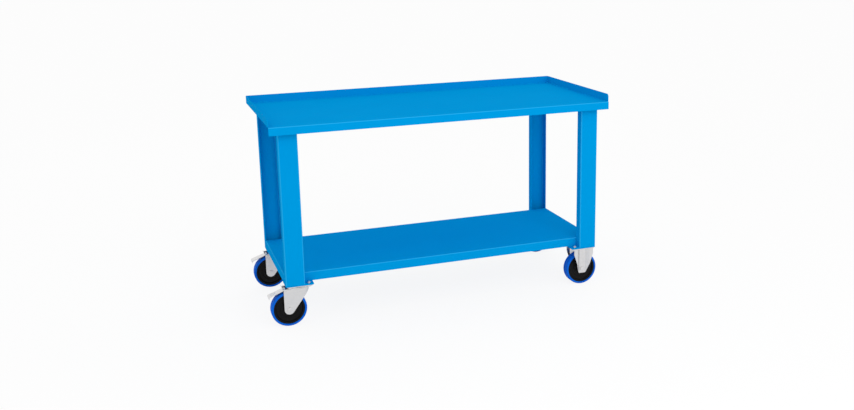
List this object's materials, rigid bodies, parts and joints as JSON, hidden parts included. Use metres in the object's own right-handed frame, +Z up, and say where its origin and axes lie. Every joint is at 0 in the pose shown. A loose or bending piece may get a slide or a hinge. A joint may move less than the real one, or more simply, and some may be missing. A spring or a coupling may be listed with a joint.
{
  "type": "mobile workbench",
  "caption": "Folded sheet-steel workbench with a tray-edged worktop and a lower shelf, rolling on braked swivel casters at one end and fixed casters at the other",
  "frame": {"origin": "on the floor, under the middle of the outline", "axes": "+X from the swivel casters to the fixed casters along the length, +Y from the open front edge to the raised rear edge, +Z up"},
  "size_m": [1.5313, 0.65, 0.891],
  "materials": {
    "powder_coat": "gloss blue powder coat on folded steel sheet",
    "zinc_plate": "bright zinc plating on pressed steel",
    "tyre": "blue elastic solid rubber, matt tread",
    "wheel_hub": "black moulded nylon",
    "brake_shoe": "black moulded friction pad"
  },
  "bodies": {
    "bench": {"worktop": "powder_coat", "worktop_stiffener_front": "powder_coat", "worktop_stiffener_rear": "powder_coat", "lower_shelf": "powder_coat", "shelf_stiffener": "powder_coat", "leg_front_left": "powder_coat", "leg_front_right": "powder_coat", "leg_rear_left": "powder_coat", "leg_rear_right": "powder_coat", "foot_plate_front_left": "powder_coat", "foot_plate_front_right": "powder_coat", "foot_plate_rear_left": "powder_coat", "foot_plate_rear_right": "powder_coat", "leg_head_plate_front_left": "powder_coat", "leg_head_plate_front_right": "powder_coat", "leg_head_plate_rear_left": "powder_coat", "leg_head_plate_rear_right": "powder_coat", "top_plate_front_left": "zinc_plate", "upper_race_front_left": "zinc_plate", "kingpin_front_left": "zinc_plate", "bracket_front_right": "zinc_plate", "axle_bolt_front_right": "zinc_plate", "axle_nut_front_right": "zinc_plate", "axle_sleeve_front_right": "zinc_plate", "top_plate_rear_left": "zinc_plate", "upper_race_rear_left": "zinc_plate", "kingpin_rear_left": "zinc_plate", "bracket_rear_right": "zinc_plate", "axle_bolt_rear_right": "zinc_plate", "axle_nut_rear_right": "zinc_plate", "axle_sleeve_rear_right": "zinc_plate"},
    "swivel_front_left": {"fork_front_left": "zinc_plate", "ball_ring_front_left": "zinc_plate", "axle_bolt_front_left": "zinc_plate", "axle_nut_front_left": "zinc_plate", "axle_sleeve_front_left": "zinc_plate", "pedal_pin_front_left": "zinc_plate"},
    "pedal_front_left": {"brake_pedal_front_left": "zinc_plate", "brake_shoe_front_left": "brake_shoe"},
    "wheel_front_left": {"tyre_front_left": "tyre", "hub_front_left": "wheel_hub"},
    "wheel_front_right": {"tyre_front_right": "tyre", "hub_front_right": "wheel_hub"},
    "swivel_rear_left": {"fork_rear_left": "zinc_plate", "ball_ring_rear_left": "zinc_plate", "axle_bolt_rear_left": "zinc_plate", "axle_nut_rear_left": "zinc_plate", "axle_sleeve_rear_left": "zinc_plate", "pedal_pin_rear_left": "zinc_plate"},
    "pedal_rear_left": {"brake_pedal_rear_left": "zinc_plate", "brake_shoe_rear_left": "brake_shoe"},
    "wheel_rear_left": {"tyre_rear_left": "tyre", "hub_rear_left": "wheel_hub"},
    "wheel_rear_right": {"tyre_rear_right": "tyre", "hub_rear_right": "wheel_hub"}
  },
  "joints": [
    {"name": "swivel_front_left", "type": "hinge", "parent": "bench", "child": "swivel_front_left", "pos_m": [-0.63772, -0.25, 0.1665], "axis": [0, 0, 1], "continuous": true},
    {"name": "wheel_front_left", "type": "hinge", "parent": "swivel_front_left", "child": "wheel_front_left", "pos_m": [-0.68372, -0.25, 0.075], "axis": [0, 1, 0], "continuous": true},
    {"name": "brake_front_left", "type": "hinge", "parent": "swivel_front_left", "child": "pedal_front_left", "pos_m": [-0.69772, -0.25, 0.1543], "axis": [0, -1, 0], "range_deg": [0, 12]},
    {"name": "wheel_front_right", "type": "hinge", "parent": "bench", "child": "wheel_front_right", "pos_m": [0.66828, -0.25, 0.075], "axis": [0, 1, 0], "continuous": true},
    {"name": "swivel_rear_left", "type": "hinge", "parent": "bench", "child": "swivel_rear_left", "pos_m": [-0.63772, 0.25, 0.1665], "axis": [0, 0, 1], "continuous": true},
    {"name": "wheel_rear_left", "type": "hinge", "parent": "swivel_rear_left", "child": "wheel_rear_left", "pos_m": [-0.68372, 0.25, 0.075], "axis": [0, 1, 0], "continuous": true},
    {"name": "brake_rear_left", "type": "hinge", "parent": "swivel_rear_left", "child": "pedal_rear_left", "pos_m": [-0.69772, 0.25, 0.1543], "axis": [0, -1, 0], "range_deg": [0, 12]},
    {"name": "wheel_rear_right", "type": "hinge", "parent": "bench", "child": "wheel_rear_right", "pos_m": [0.66828, 0.25, 0.075], "axis": [0, 1, 0], "continuous": true}
  ]
}
